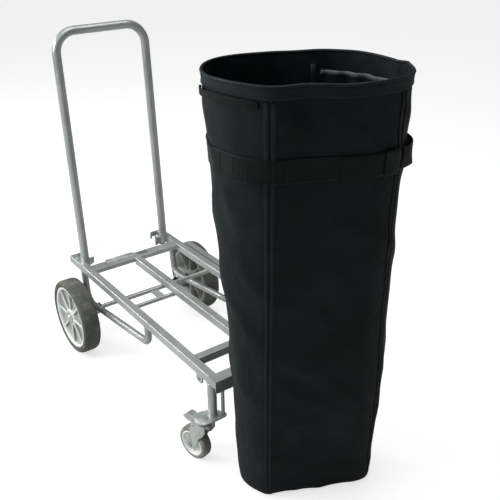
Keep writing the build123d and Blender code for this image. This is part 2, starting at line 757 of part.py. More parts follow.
os.makedirs("parts", exist_ok=True)
for node, placed in place_parts(make_parts()).items():
    export_step(placed[0] if len(placed) == 1 else Compound(placed), f"parts/{node}.step")
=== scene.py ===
import json
import math

import bmesh
import bpy
from mathutils import Matrix, Vector, noise


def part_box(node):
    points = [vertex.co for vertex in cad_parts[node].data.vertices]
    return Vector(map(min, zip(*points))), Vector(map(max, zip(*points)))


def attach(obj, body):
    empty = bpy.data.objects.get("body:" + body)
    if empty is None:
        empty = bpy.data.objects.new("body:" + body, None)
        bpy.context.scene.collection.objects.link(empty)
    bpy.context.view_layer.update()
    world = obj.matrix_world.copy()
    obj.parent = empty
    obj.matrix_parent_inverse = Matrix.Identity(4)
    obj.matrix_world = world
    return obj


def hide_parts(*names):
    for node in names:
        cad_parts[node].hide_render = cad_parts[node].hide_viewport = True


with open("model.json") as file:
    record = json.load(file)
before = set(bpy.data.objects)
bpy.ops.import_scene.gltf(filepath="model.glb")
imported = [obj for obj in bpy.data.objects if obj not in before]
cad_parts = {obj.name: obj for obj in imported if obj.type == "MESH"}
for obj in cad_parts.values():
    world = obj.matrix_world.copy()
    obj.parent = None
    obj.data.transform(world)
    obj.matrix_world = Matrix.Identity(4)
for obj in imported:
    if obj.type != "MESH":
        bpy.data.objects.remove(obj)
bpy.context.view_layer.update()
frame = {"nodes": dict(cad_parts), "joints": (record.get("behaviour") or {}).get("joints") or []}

cadNodes = frame["nodes"]
jointAt = {joint["name"]: joint for joint in frame["joints"]}
mm = 0.001


# small helpers
def linearColour(hexCode):
    # sRGB hex to the linear colour that a shader socket takes
    channels = [int(hexCode[i:i + 2], 16) / 255 for i in (1, 3, 5)]
    return [*[c / 12.92 if c <= 0.04045 else ((c + 0.055) / 1.055) ** 2.4 for c in channels], 1.0]


def addNode(tree, kind, settings=None, links=None):
    # one node, its sockets and properties set by name, its inputs linked from (node, output)
    node = tree.nodes.new(kind)
    for name, value in (settings or {}).items():
        if isinstance(name, int) or name in node.inputs:
            node.inputs[name].default_value = value
        else:
            setattr(node, name, value)
    for name, (source, output) in (links or {}).items():
        tree.links.new(source.outputs[output], node.inputs[name])
    return node


def newMaterial(name, colour, roughness, metallic=0.0, **sockets):
    material = bpy.data.materials.new(name)
    material.use_nodes = True
    tree = material.node_tree
    shader = tree.nodes["Principled BSDF"]
    shader.inputs["Base Color"].default_value = linearColour(colour)
    shader.inputs["Roughness"].default_value = roughness
    shader.inputs["Metallic"].default_value = metallic
    for socket, value in sockets.items():
        shader.inputs[socket.replace("_", " ")].default_value = value
    return material, tree, shader


def colourRamp(tree, source, output, stops):
    ramp = addNode(tree, "ShaderNodeValToRGB", links={"Fac": (source, output)})
    elements = ramp.color_ramp.elements
    while len(elements) < len(stops):
        elements.new(0.5)
    for element, (position, colour) in zip(elements, stops):
        element.position = position
        element.color = linearColour(colour)
    return ramp


def bumpFrom(tree, shader, height, output, strength, distance, normal=None):
    links = {"Height": (height, output)}
    if normal:
        links["Normal"] = (normal, "Normal")
    bump = addNode(tree, "ShaderNodeBump", {"Strength": strength, "Distance": distance}, links)
    tree.links.new(bump.outputs["Normal"], shader.inputs["Normal"])
    return bump


def paint(material, *names):
    for name in names:
        mesh = cadNodes[name].data
        mesh.materials.clear()
        mesh.materials.append(material)


def linked(name, data):
    holder = bpy.data.objects.new(name, data)
    bpy.context.scene.collection.objects.link(holder)
    return holder


def finishPiece(bm, name, material, body, stands=(), smooth=True):
    # bmesh to a linked object that rides on a body
    bmesh.ops.remove_doubles(bm, verts=bm.verts, dist=0.00001)
    bmesh.ops.recalc_face_normals(bm, faces=bm.faces)
    mesh = bpy.data.meshes.new(name)
    bm.to_mesh(mesh)
    bm.free()
    for face in mesh.polygons:
        face.use_smooth = smooth
    piece = linked(name, mesh)
    mesh.materials.append(material)
    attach(piece, body)
    if stands:
        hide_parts(*stands)
    return piece


def addModifier(piece, name, kind, **settings):
    modifier = piece.modifiers.new(name, kind)
    for key, value in settings.items():
        setattr(modifier, key, value)


def subdivide(piece, levels):
    addModifier(piece, "soften", "SUBSURF", levels=levels, render_levels=levels)


def middleOf(nodeName):
    low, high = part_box(nodeName)
    return (low + high) / 2


# finishes
def addNoise(tree, place, scale, detail=2.0, output="Object", **settings):
    # a cloud of noise; the scale is lumps to the metre
    settings = {name.replace("_", " "): value for name, value in settings.items()}
    return addNode(tree, "ShaderNodeTexNoise", {"Scale": scale, "Detail": detail, **settings},
                   {"Vector": (place, output)})


def tintFrom(tree, shader, source, stops):
    tone = colourRamp(tree, source, "Fac", stops)
    tree.links.new(tone.outputs["Color"], shader.inputs["Base Color"])
    return tone


def glossFrom(tree, shader, source, low, high, start=0.0, end=1.0):
    # roughness from low to high as the noise goes from start to end
    span = {"From Min": start, "From Max": end, "To Min": low, "To Max": high}
    gloss = addNode(tree, "ShaderNodeMapRange", span, {"Value": (source, "Fac")})
    tree.links.new(gloss.outputs["Result"], shader.inputs["Roughness"])


def multiplied(tree, shader, tone, over, output, share):
    # the tone darkened by another colour or value
    tint = addNode(tree, "ShaderNodeMix", {"data_type": "RGBA", "blend_type": "MULTIPLY", "Factor": share},
                   {6: (tone, "Color"), 7: (over, output)})
    tree.links.new(tint.outputs[2], shader.inputs["Base Color"])


def threadLines(tree, cloth, spacing, direction, distortion=0.0):
    # parallel threads, one every spacing metres; a wave texture of scale 1 repeats about every 0.314
    return addNode(tree, "ShaderNodeTexWave",
                   {"Scale": 0.314 / spacing, "Distortion": distortion, "bands_direction": direction},
                   {"Vector": (cloth, "UV")})


def makePowderCoat():
    # polyester powder coat on steel tube: an even silver grey with a faint orange peel and soft gloss
    material, tree, shader = newMaterial("powderCoatSilverGrey", "#a8acaa", 0.3, 0.55,
                                         Coat_Weight=0.2, Coat_Roughness=0.15)
    place = addNode(tree, "ShaderNodeTexCoord")
    cloud = addNoise(tree, place, 9.0, 5.0)
    tintFrom(tree, shader, cloud, [(0.3, "#a0a5a2"), (0.55, "#b1b5b3"), (0.8, "#c0c4c2")])
    rub = addNoise(tree, place, 60.0, 8.0)
    glossFrom(tree, shader, rub, 0.28, 0.46, 0.35, 0.7)
    # the real peel is about 1 mm across, drawn at 3 mm so that it shows
    peel = addNoise(tree, place, 1 / (3 * mm))
    bumpFrom(tree, shader, peel, "Fac", 0.10, 0.4 * mm)
    return material


def makeZinc():
    # zinc-plated pressings: pale, slightly cloudy, half matt
    material, tree, shader = newMaterial("zincPlatedSteel", "#d8dbd9", 0.36, 0.6)
    place = addNode(tree, "ShaderNodeTexCoord")
    cloud = addNoise(tree, place, 38.0, 6.0)
    tintFrom(tree, shader, cloud, [(0.3, "#abafad"), (0.6, "#c6cac8"), (0.85, "#d9dcda")])
    glossFrom(tree, shader, cloud, 0.3, 0.5, 0.3, 0.7)
    bumpFrom(tree, shader, cloud, "Fac", 0.08, 0.3 * mm)
    return material


def makeSteel(name, colour, roughness):
    # turned or drawn steel with fine lines along its length
    material, tree, shader = newMaterial(name, colour, roughness, 0.9)
    place = addNode(tree, "ShaderNodeTexCoord")
    stretch = addNode(tree, "ShaderNodeMapping", {"Scale": (40.0, 900.0, 900.0)}, {"Vector": (place, "Object")})
    grain = addNoise(tree, stretch, 1.0, 3.0, "Vector")
    glossFrom(tree, shader, grain, roughness - 0.1, roughness + 0.12)
    bumpFrom(tree, shader, grain, "Fac", 0.05, 0.1 * mm)
    return material


def makeTyreRubber(name, dark, mid, scuffed, scuffScale):
    # moulded rubber: dull, dusty where it has rolled
    material, tree, shader = newMaterial(name, mid, 0.78)
    place = addNode(tree, "ShaderNodeTexCoord")
    cloud = addNoise(tree, place, scuffScale, 9.0, Roughness=0.65)
    tintFrom(tree, shader, cloud, [(0.32, dark), (0.52, mid), (0.74, scuffed)])
    glossFrom(tree, shader, cloud, 0.6, 0.9)
    grit = addNoise(tree, place, 1 / (2.5 * mm), 4.0)
    bumpFrom(tree, shader, grit, "Fac", 0.25, 0.5 * mm)
    return material


def makeNylon(name, shadow, light, recess=None):
    # injection-moulded nylon: even, satin, slightly waxy, with painted shade darkening a hub's recess.
    # recess is (middle of the cart, depth of the web, height of the ribs) along X, in metres
    material, tree, shader = newMaterial(name, light, 0.46, Subsurface_Weight=0.03)
    place = addNode(tree, "ShaderNodeTexCoord")
    cloud = addNoise(tree, place, 25.0, 5.0)
    tone = tintFrom(tree, shader, cloud, [(0.25, shadow), (0.65, light)])
    if recess:
        middle, web, rib = recess
        axes = addNode(tree, "ShaderNodeSeparateXYZ", links={"Vector": (place, "Object")})
        away = addNode(tree, "ShaderNodeMath", {"operation": "SUBTRACT", 1: middle}, {0: (axes, "X")})
        reach = addNode(tree, "ShaderNodeMath", {"operation": "ABSOLUTE"}, {0: (away, "Value")})
        depth = addNode(tree, "ShaderNodeMapRange", {"From Min": web, "From Max": rib},
                        {"Value": (reach, "Value")})
        # painted shade: the hub is darkened towards the web between the ribs and on its inner side, and the rib
        # tops keep their full tone
        recessShade = colourRamp(tree, depth, "Result", [(0.0, "#aeb0ad"), (0.5, "#cfd1ce"), (1.0, "#ffffff")])
        multiplied(tree, shader, tone, recessShade, "Color", 1.0)
    fine = addNoise(tree, place, 1 / (2 * mm))
    bumpFrom(tree, shader, fine, "Fac", 0.06, 0.2 * mm)
    return material


def makeBagCloth():
    # coated polyester cloth: near black, plain weave, a dry sheen and faint rubbed patches.
    # the real threads are 0.5 mm apart, drawn at 2.4 mm so that they show
    material, tree, shader = newMaterial("coatedPolyesterBlack", "#0c0e10", 0.62, Sheen_Weight=0.03,
                                         Specular_IOR_Level=0.12, Sheen_Roughness=0.5)
    shader.inputs["Sheen Tint"].default_value = linearColour("#4a5157")
    cloth = addNode(tree, "ShaderNodeUVMap", {"uv_map": "cloth"})
    warp = threadLines(tree, cloth, 2.4 * mm, "X", 0.6)
    weft = threadLines(tree, cloth, 2.4 * mm, "Y", 0.6)
    weave = addNode(tree, "ShaderNodeMath", {"operation": "MULTIPLY"}, {0: (warp, "Fac"), 1: (weft, "Fac")})
    cloud = addNoise(tree, cloth, 7.0, 7.0, "UV", Roughness=0.6)
    tone = tintFrom(tree, shader, cloud, [(0.3, "#13171a"), (0.55, "#1c2225"), (0.85, "#2a3135")])
    multiplied(tree, shader, tone, weave, "Value", 0.35)
    bump = bumpFrom(tree, shader, weave, "Value", 0.35, 0.3 * mm)
    crease = addNoise(tree, cloth, 11.0, 4.0, "UV", Distortion=1.2)
    bumpFrom(tree, shader, crease, "Fac", 0.6, 7 * mm, bump)
    return material


def makeWebbing(name, colour, rib):
    # woven polypropylene webbing: cross ribs and lengthwise rows; rib is in millimetres
    material, tree, shader = newMaterial(name, colour, 0.52, Specular_IOR_Level=0.14)
    cloth = addNode(tree, "ShaderNodeUVMap", {"uv_map": "cloth"})
    ribs = threadLines(tree, cloth, rib * mm, "X")
    rows = threadLines(tree, cloth, 3.2 * mm, "Y")
    weave = addNode(tree, "ShaderNodeMath", {"operation": "ADD"}, {0: (ribs, "Fac"), 1: (rows, "Fac")})
    bumpFrom(tree, shader, weave, "Value", 0.4, 0.5 * mm)
    return material


finishes = {
    "paint": makePowderCoat(),
    "zinc": makeZinc(),
    "steel": makeSteel("brightZincSteel", "#b9bcba", 0.35),
    "blackSteel": makeSteel("blackOxideSteel", "#2e2f2f", 0.45),
    "tyre": makeTyreRubber("mouldedTyreRubber", "#3a3c3a", "#53554f", "#7c7b72", 26.0),
    "casterTyre": makeTyreRubber("greyCasterRubber", "#6c6b65", "#86857e", "#a5a39b", 45.0),
    "hub": makeNylon("mouldedNylonHub", "#d3d6d4", "#e9ebe9", (0.00675, 0.2480, 0.2575)),
    "casterHub": makeNylon("mouldedNylonCasterHub", "#dcdedb", "#f0f1ee"),
    "cloth": makeBagCloth(),
    "webbing": makeWebbing("wovenWebbingBlack", "#0d1113", 2.6),
    "tape": makeWebbing("bindingTapeBlack", "#1c2226", 2.0),
    "thread": newMaterial("sewingThread", "#2b3135", 0.7, Specular_IOR_Level=0.15)[0],
    "greyLining": makeWebbing("greyLiningBinding", "#5d6164", 2.4),
    "board": newMaterial("hollowPlasticBoard", "#0b0c0d", 0.5)[0],
}
print("finishes made")

framePaint = ("side_rail", "centre_rail", "rear_cross", "nose_angle", "front_cross", "rear_stay", "front_stay",
              "bridge", "handle", "side_hoop", "axle_bracket", "side_strip", "leg_", "front_leg", "strap_lugs",
              "rail_end_plate")
zincPlated = ("mount_plate", "fork_left", "fork_right", "brake_pedal", "swivel_mount", "blank_plate", "deck_bolts")
paint(finishes["paint"], *[name for name in cadNodes if name.startswith(framePaint)])
paint(finishes["zinc"], *[name for name in cadNodes if name.startswith(zincPlated)])
paint(finishes["steel"], "axle", "strip_bolts", "blank_plate_rivets", "fork_pins_left", "fork_pins_right")
paint(finishes["blackSteel"], "axle_collars")
paint(finishes["hub"], *[name for name in cadNodes if name.startswith(("rear_hub", "hub_cap", "hub_bushes"))])
paint(finishes["tyre"], "rear_tyre_left", "rear_tyre_right")
paint(finishes["casterTyre"], "caster_tyre_left", "caster_tyre_right")
paint(finishes["casterHub"], "caster_hub_left", "caster_hub_right")
paint(finishes["board"], "bag_board")


# wheels
def spunPart(profile, steps):
    # a closed outline of (distance along the axle, radius), in millimetres, spun about the X axis
    bm = bmesh.new()
    verts = [bm.verts.new((x * mm, 0, r * mm)) for x, r in profile]
    edges = [bm.edges.new((verts[i - 1], verts[i])) for i in range(len(verts))]
    bmesh.ops.spin(bm, geom=verts + edges, cent=(0, 0, 0), axis=(1, 0, 0), dvec=(0, 0, 0), angle=2 * math.pi,
                   steps=steps, use_merge=True)
    return bm


def addBlock(bm, size, place, turn=0.0, taper=1.0, bevel=0.0):
    # a box in millimetres, its far end narrowed, bevelled, then turned about the X axis
    cube = bmesh.ops.create_cube(bm, size=mm)["verts"]
    bmesh.ops.scale(bm, vec=size, verts=cube)
    for vert in cube:
        if vert.co.z > 0:
            vert.co.y *= taper
    bmesh.ops.translate(bm, vec=Vector(place) * mm, verts=cube)
    bmesh.ops.rotate(bm, cent=(0, 0, 0), matrix=Matrix.Rotation(turn, 3, "X"), verts=cube)
    if bevel:
        edges = list({edge for vert in cube for edge in vert.link_edges})
        bmesh.ops.bevel(bm, geom=edges, offset=bevel * mm, offset_type="OFFSET", segments=2, profile=0.5,
                        affect="EDGES", material=-1)


def turnBy(bm, angle, axis):
    bmesh.ops.rotate(bm, cent=(0, 0, 0), matrix=Matrix.Rotation(angle, 3, axis), verts=bm.verts)


def headingOf(joint):
    # the joint's axis as an angle from +X, seen from above
    axis = Vector(joint["axis"])
    return math.atan2(axis.y, axis.x)


def placeWheel(bm, joint, outward, name, material, body, stands=()):
    # the part is drawn with its outer side towards +X; outward is -1 on the left of the cart
    if outward < 0:
        bmesh.ops.scale(bm, vec=(-1, 1, 1), verts=bm.verts)
    turnBy(bm, headingOf(joint), "Z")
    bmesh.ops.translate(bm, vec=Vector(joint["pos_m"]), verts=bm.verts)
    finishPiece(bm, name, material, body, stands)


rearWheel = {
    # sections as (distance along the axle, radius); the tyre's half runs from the rim to the middle of the tread
    "tyreHalf": [(25.5, 105.6), (27.6, 107.0), (27.2, 109.5), (28.4, 111.5), (28.5, 117), (27.4, 121),
                 (25.6, 123.6), (25.0, 123.2), (23.6, 124.8), (19, 126.2), (10, 126.9)],
    "hub": [(-25.5, 105.9), (25.3, 105.9), (26.2, 104.2), (25.8, 99), (23, 97.2), (16, 95.5), (14, 92), (13.2, 60),
            (14, 34), (16, 31), (22, 28.5), (24, 26), (24.2, 20), (24.2, 13.5), (-30.5, 13.5), (-30.5, 22),
            (-28, 24.5), (9, 30), (9, 90), (6, 94.5), (-25, 97.5)],
    "cap": [(24.0, 0), (24.0, 21), (27.0, 21), (28.2, 19.6), (28.4, 15), (27.4, 14.4), (27.6, 12.6), (31.2, 11.4),
            (32.8, 7), (33.4, 2.5), (33.4, 0)],
    "ribs": 8,
    "outerRib": {"size": (9, 6.5, 70), "place": (18, 0, 62), "taper": 0.62, "bevel": 1.4},
    "innerRib": {"size": (30, 5.2, 68), "place": (-5, 0, 62), "taper": 0.8, "bevel": 1.0},
    "capTabs": 4, "capTurn": 0.4,
    "capTab": {"size": (3.4, 5.5, 4.6), "place": (28.6, 0, 17.2), "bevel": 0.5},
}
casterWheel = {
    "tyreHalf": [(14.6, 37.8), (15, 40), (14.7, 44), (13.2, 47.6), (10, 49.4), (2.2, 50), (1.2, 49.8),
                 (0.7, 48.8)],
    "hubHalf": [(15.2, 37.9), (15.9, 36.8), (15.8, 34.2), (14.6, 33), (8, 31.6), (6, 29), (6, 16), (8, 13.4),
                (16.4, 11.4), (16.8, 10.4), (16.8, 4.3)],
    "ribs": 6,
    "rib": {"size": (22, 2.6, 17), "place": (0, 0, 22), "bevel": 0.4},
}


def mirrored(half):
    return half + [(-x, r) for x, r in reversed(half)]


def makeRearWheel(side, outward):
    joint = jointAt[f"rear_wheel_{side}_spin"]
    body = f"rear_wheel_{side}"
    word = side.capitalize()
    placeWheel(spunPart(mirrored(rearWheel["tyreHalf"]), 120), joint, outward, f"rearTyre{word}",
               finishes["tyre"], body, [f"rear_tyre_{side}"])
    hub = spunPart(rearWheel["hub"], 96)
    for i in range(rearWheel["ribs"]):
        turn = 2 * math.pi * i / rearWheel["ribs"]
        addBlock(hub, turn=turn, **rearWheel["outerRib"])
        addBlock(hub, turn=turn, **rearWheel["innerRib"])
    placeWheel(hub, joint, outward, f"rearHub{word}", finishes["hub"], body, [f"rear_hub_{side}"])
    cap = spunPart(rearWheel["cap"], 48)
    for i in range(rearWheel["capTabs"]):
        addBlock(cap, turn=2 * math.pi * i / rearWheel["capTabs"] + rearWheel["capTurn"], **rearWheel["capTab"])
    placeWheel(cap, joint, outward, f"hubCap{word}", finishes["zinc"], body, [f"hub_cap_{side}"])


def makeCasterWheel(side, outward):
    joint = jointAt[f"caster_wheel_{side}_spin"]
    body = f"caster_wheel_{side}"
    word = side.capitalize()
    placeWheel(spunPart(mirrored(casterWheel["tyreHalf"]), 84), joint, outward, f"casterTyre{word}",
               finishes["casterTyre"], body, [f"caster_tyre_{side}"])
    hub = spunPart(mirrored(casterWheel["hubHalf"]), 60)
    for i in range(casterWheel["ribs"]):
        addBlock(hub, turn=2 * math.pi * i / casterWheel["ribs"], **casterWheel["rib"])
    placeWheel(hub, joint, outward, f"casterHub{word}", finishes["casterHub"], body,
               [f"caster_hub_{side}"])


for side, outward in (("left", -1), ("right", 1)):
    makeRearWheel(side, outward)
    makeCasterWheel(side, outward)
print("wheels made")


# brake pedals and mount plates
pedal = {
    # rows from the pivot to the curled tip: distance behind the pivot, height over it, half width
    "rows": [(-1, 1.5, 16), (6, 3.2, 16.5), (13, 5.5, 17), (20, 7.6, 20), (27, 9.4, 21), (33, 11.2, 20.6),
             (37.5, 12.2, 18), (40.4, 11.4, 14), (41.4, 8.6, 11.5), (40.4, 5.4, 10)],
    # the middle of these rows is pressed up, and the side edges curl up
    "ribRows": range(3, 7), "rib": 1.3, "ribWidth": 0.35, "edgeCurl": 0.6,
    "across": 6, "sheet": 2.6 * mm, "eyeRadius": 5.8 * mm, "eyeLength": 33 * mm, "eyeBevel": 0.8 * mm,
}


def makePedal(side):
    joint = jointAt[f"brake_{side}_press"]
    turn = headingOf(joint)
    if math.cos(turn) < 0:
        turn += math.pi
    rows = len(pedal["rows"]) - 1
    bm = bmesh.new()
    bmesh.ops.create_grid(bm, x_segments=pedal["across"], y_segments=rows, size=1)
    for vert in bm.verts:
        row = round((vert.co.y + 1) / 2 * rows)
        behind, rise, half = pedal["rows"][row]
        share = vert.co.x
        if row in pedal["ribRows"]:
            rise += pedal["rib"] * math.exp(-(share / pedal["ribWidth"]) ** 2)
        rise += pedal["edgeCurl"] * abs(share) ** 3
        vert.co = Vector((share * half, behind, rise)) * mm
    turnBy(bm, turn, "Z")
    bmesh.ops.translate(bm, vec=Vector(joint["pos_m"]), verts=bm.verts)
    piece = finishPiece(bm, f"brakePedal{side.capitalize()}", finishes["zinc"], f"brake_{side}",
                        [f"brake_pedal_{side}"])
    addModifier(piece, "sheetThickness", "SOLIDIFY", thickness=pedal["sheet"], offset=-0.4)
    subdivide(piece, 2)
    # the eye that the pedal turns on
    bm = bmesh.new()
    bmesh.ops.create_cone(bm, cap_ends=True, segments=28, radius1=pedal["eyeRadius"], radius2=pedal["eyeRadius"],
                          depth=pedal["eyeLength"])
    turnBy(bm, math.pi / 2, "Y")
    turnBy(bm, turn, "Z")
    bmesh.ops.translate(bm, vec=Vector(joint["pos_m"]), verts=bm.verts)
    eye = finishPiece(bm, f"brakeEye{side.capitalize()}", finishes["zinc"], f"brake_{side}")
    addModifier(eye, "edges", "BEVEL", width=pedal["eyeBevel"], segments=2)


mountPlate = {
    "legRadius": 25 * mm, "swivelRadius": 28 * mm, "stayRadius": 10 * mm, "stayInward": 24 * mm,
    "stayForward": 14 * mm, "outlinePoints": 120, "border": 3.6 * mm, "step": 1.2 * mm, "stamped": 1.0 * mm,
    "bevel": 0.7 * mm,
}


def makeMountPlate(side, outward):
    # a pressed plate round three discs, its middle stamped up inside a plain border
    leg = middleOf(f"front_leg_{side}")
    swivel = Vector(jointAt[f"caster_{side}_swivel"]["pos_m"])
    low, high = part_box(f"mount_plate_{side}")
    stay = Vector((leg.x - outward * mountPlate["stayInward"], leg.y - mountPlate["stayForward"], 0))
    lobes = [(leg, mountPlate["legRadius"]), (swivel, mountPlate["swivelRadius"]),
             (stay, mountPlate["stayRadius"])]
    bm = bmesh.new()
    ring = []
    for i in range(mountPlate["outlinePoints"]):
        angle = 2 * math.pi * i / mountPlate["outlinePoints"]
        way = Vector((math.cos(angle), math.sin(angle), 0))
        centre, radius = max(lobes, key=lambda lobe: lobe[0].x * way.x + lobe[0].y * way.y + lobe[1])
        spot = centre + way * radius
        ring.append(bm.verts.new((spot.x, spot.y, low.z)))
    face = bm.faces.new(ring)
    raised = bmesh.ops.extrude_face_region(bm, geom=[face])
    risen = [part for part in raised["geom"] if isinstance(part, bmesh.types.BMVert)]
    bmesh.ops.translate(bm, vec=(0, 0, high.z - low.z), verts=risen)
    cap = [part for part in raised["geom"] if isinstance(part, bmesh.types.BMFace)]
    bmesh.ops.inset_region(bm, faces=cap, thickness=mountPlate["border"])
    bmesh.ops.inset_region(bm, faces=cap, thickness=mountPlate["step"], depth=mountPlate["stamped"])
    piece = finishPiece(bm, f"mountPlate{side.capitalize()}", finishes["zinc"], "frame",
                        [f"mount_plate_{side}"])
    addModifier(piece, "edges", "BEVEL", width=mountPlate["bevel"], segments=2, limit_method="ANGLE")


for side, outward in (("left", -1), ("right", 1)):
    makePedal(side)
    makeMountPlate(side, outward)
print("pedals and plates made")


# weld beads; each pair is how far the bead sits from the tube's end and how thick it is
weld = {
    "ripples": 22, "swell": 0.22, "legFoot": (1.2 * mm, 1.9 * mm), "legTop": (1.0 * mm, 1.7 * mm),
    "hoopTop": (1.0 * mm, 1.6 * mm), "stayEnd": (12.7 * mm, 1.3 * mm),
}


def addBead(bm, middle, radius, thickness, axis=(0, 0, 1)):
    # a ring of weld round a tube's foot, its ripples drawn by swelling every other section
    before = set(bm.verts)
    circle = bmesh.ops.create_circle(bm, segments=8, radius=thickness)["verts"]
    bmesh.ops.rotate(bm, cent=(0, 0, 0), matrix=Matrix.Rotation(math.pi / 2, 3, "X"), verts=circle)
    bmesh.ops.translate(bm, vec=(radius, 0, 0), verts=circle)
    edges = list({edge for vert in circle for edge in vert.link_edges})
    bmesh.ops.spin(bm, geom=circle + edges, cent=(0, 0, 0), axis=(0, 0, 1), dvec=(0, 0, 0), angle=2 * math.pi,
                   steps=weld["ripples"] * 2, use_merge=True)
    ring = [vert for vert in bm.verts if vert not in before]
    for vert in ring:
        angle = math.atan2(vert.co.y, vert.co.x)
        core = Vector((math.cos(angle), math.sin(angle), 0)) * radius
        vert.co = core + (vert.co - core) * (1 + weld["swell"] * math.cos(angle * weld["ripples"]))
    tilt = Vector((0, 0, 1)).rotation_difference(Vector(axis)).to_matrix()
    bmesh.ops.rotate(bm, cent=(0, 0, 0), matrix=tilt, verts=ring)
    bmesh.ops.translate(bm, vec=middle, verts=ring)


def makeWelds():
    bm = bmesh.new()
    for side in ("left", "right"):
        low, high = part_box(f"front_leg_{side}")
        middle = (low + high) / 2
        radius = (high.x - low.x) / 2
        inset, thickness = weld["legFoot"]
        addBead(bm, (middle.x, middle.y, low.z + inset), radius, thickness)
        inset, thickness = weld["legTop"]
        addBead(bm, (middle.x, middle.y, high.z - inset), radius, thickness)
        low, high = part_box(f"side_hoop_{side}")
        radius = (high.x - low.x) / 2
        inset, thickness = weld["hoopTop"]
        for y in (low.y + radius, high.y - radius):
            addBead(bm, ((low.x + high.x) / 2, y, high.z - inset), radius, thickness)
    for name in ("rear_stay_bar", "front_stay_bar"):
        low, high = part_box(name)
        middle = (low + high) / 2
        inset, thickness = weld["stayEnd"]
        for x in (low.x + inset, high.x - inset):
            addBead(bm, (x, middle.y, middle.z), (high.z - low.z) / 2, thickness, (1, 0, 0))
    finishPiece(bm, "weldBeads", finishes["paint"], "frame")


makeWelds()
print("welds made")


# bag
# in metres, as the CAD bag; its centre line comes from the frame
bag = {
    "height": 1.110, "turn": math.radians(-27), "base": (0.343, 0.165), "mouth": (0.408, 0.302),
    "baseCorner": 0.070, "mouthCorner": 0.138, "seam": 0.84,
    # rows up the shell, and steps on each corner and flat in turn
    "levels": 54, "counts": (20, 26, 20, 4, 20, 26, 20, 4),
    "cloth": 1.6 * mm, "lowest": 1.5 * mm, "belowTop": 2 * mm, "bottomBorder": 20 * mm,
}
top = bag["height"]

# how the cloth leaves its plain outline. Places and widths run round the bag from 0 to 8, heights are shares
# of the bag's height, and a push is outwards
drape = {
    # (push, place, width), from foot to rim: the front corner stands out between two hollows
    "corner": [(5 * mm, bag["seam"], 0.16), (-3 * mm, bag["seam"] - 0.5, 0.25),
               (-3 * mm, bag["seam"] + 0.45, 0.3)],
    # (push, place, width, first height, full height): the back right side caves in, the corner beside it less
    "hollows": [(-27 * mm, 4.5, 0.8, 0.55, 1.0), (-4 * mm, 2.25, 0.35, 0.8, 0.97)],
    # (push, place, width, height, spread): the slack front face, and a bulge on the left of it
    "dents": [(-7 * mm, 1.5, 0.55, 0.45, 0.35), (4 * mm, 0.3, 0.3, 0.55, 0.3)],
    # folds at three sizes: how far they swing, then how many to the metre across, deep and up
    "wave": (5 * mm, 5, 5, 3), "ripple": (2.6 * mm, 17, 17, 6), "crease": (6 * mm, 7, 8, 2.5),
    # the folds run aslant: the direction across the front face, and how far the small ones lean with height
    "slant": (0.89, 0.45), "rippleLean": 8, "creaseLean": (5, 3, 3),
    # the hem holds the folds down by this share from this height
    "calm": 0.7, "calmFrom": 0.93,
    # the mouth rises and falls: an even swing that starts at a phase, and a noise along the rim
    "rimSwing": 2 * mm, "rimPhase": 0.6, "rimNoise": 3.5 * mm, "rimLumps": 1.7, "rimFrom": 0.8,
}


footMiddle = middleOf("bag_board")
mouthMiddle = middleOf("bag_hem")


def smoothStep(low, high, value):
    # 0 below low, 1 above high, eased between them
    share = min(max((value - low) / (high - low), 0.0), 1.0)
    return share * share * (3 - 2 * share)


def hump(centre, width, value):
    # a smooth rise to 1 at the centre
    return math.exp(-((value - centre) / width) ** 2)


def archOver(start, length, value):
    # 0 at both ends of a span and 1 at its middle
    return math.sin(math.pi * min(max((value - start) / length, 0), 1))


def outlineAt(around, height):
    # a point on the bag's rounded outline and its outward direction.
    # around runs from 0 to 8: front left corner, front, front right corner, right, and so on
    share = height / bag["height"]
    rise = (height - footMiddle.z) / (mouthMiddle.z - footMiddle.z)
    centre = footMiddle + (mouthMiddle - footMiddle) * rise
    width, depth = (a + (b - a) * share for a, b in zip(bag["base"], bag["mouth"]))
    corner = bag["baseCorner"] + (bag["mouthCorner"] - bag["baseCorner"]) * share
    corner = min(corner, depth / 2 - mm)
    around %= 8
    index = int(around)
    part = around - index
    flatX, flatY = width / 2 - corner, depth / 2 - corner
    signs = ((-1, -1), (1, -1), (1, 1), (-1, 1))
    if index % 2 == 0:
        sx, sy = signs[index // 2]
        angle = math.radians(180 + 90 * (index // 2) + 90 * part)
        out = Vector((math.cos(angle), math.sin(angle), 0))
        local = Vector((sx * flatX, sy * flatY, 0)) + out * corner
    else:
        first, second = signs[index // 2], signs[(index // 2 + 1) % 4]
        out = Matrix.Rotation(math.radians(90 * (index // 2)), 3, "Z") @ Vector((0, -1, 0))
        start = Vector((first[0] * flatX, first[1] * flatY, 0)) + out * corner
        end = Vector((second[0] * flatX, second[1] * flatY, 0)) + out * corner
        local = start.lerp(end, part)
    turn = Matrix.Rotation(bag["turn"], 3, "Z")
    spot = turn @ local
    return Vector((centre.x + spot.x, centre.y + spot.y, height)), turn @ out


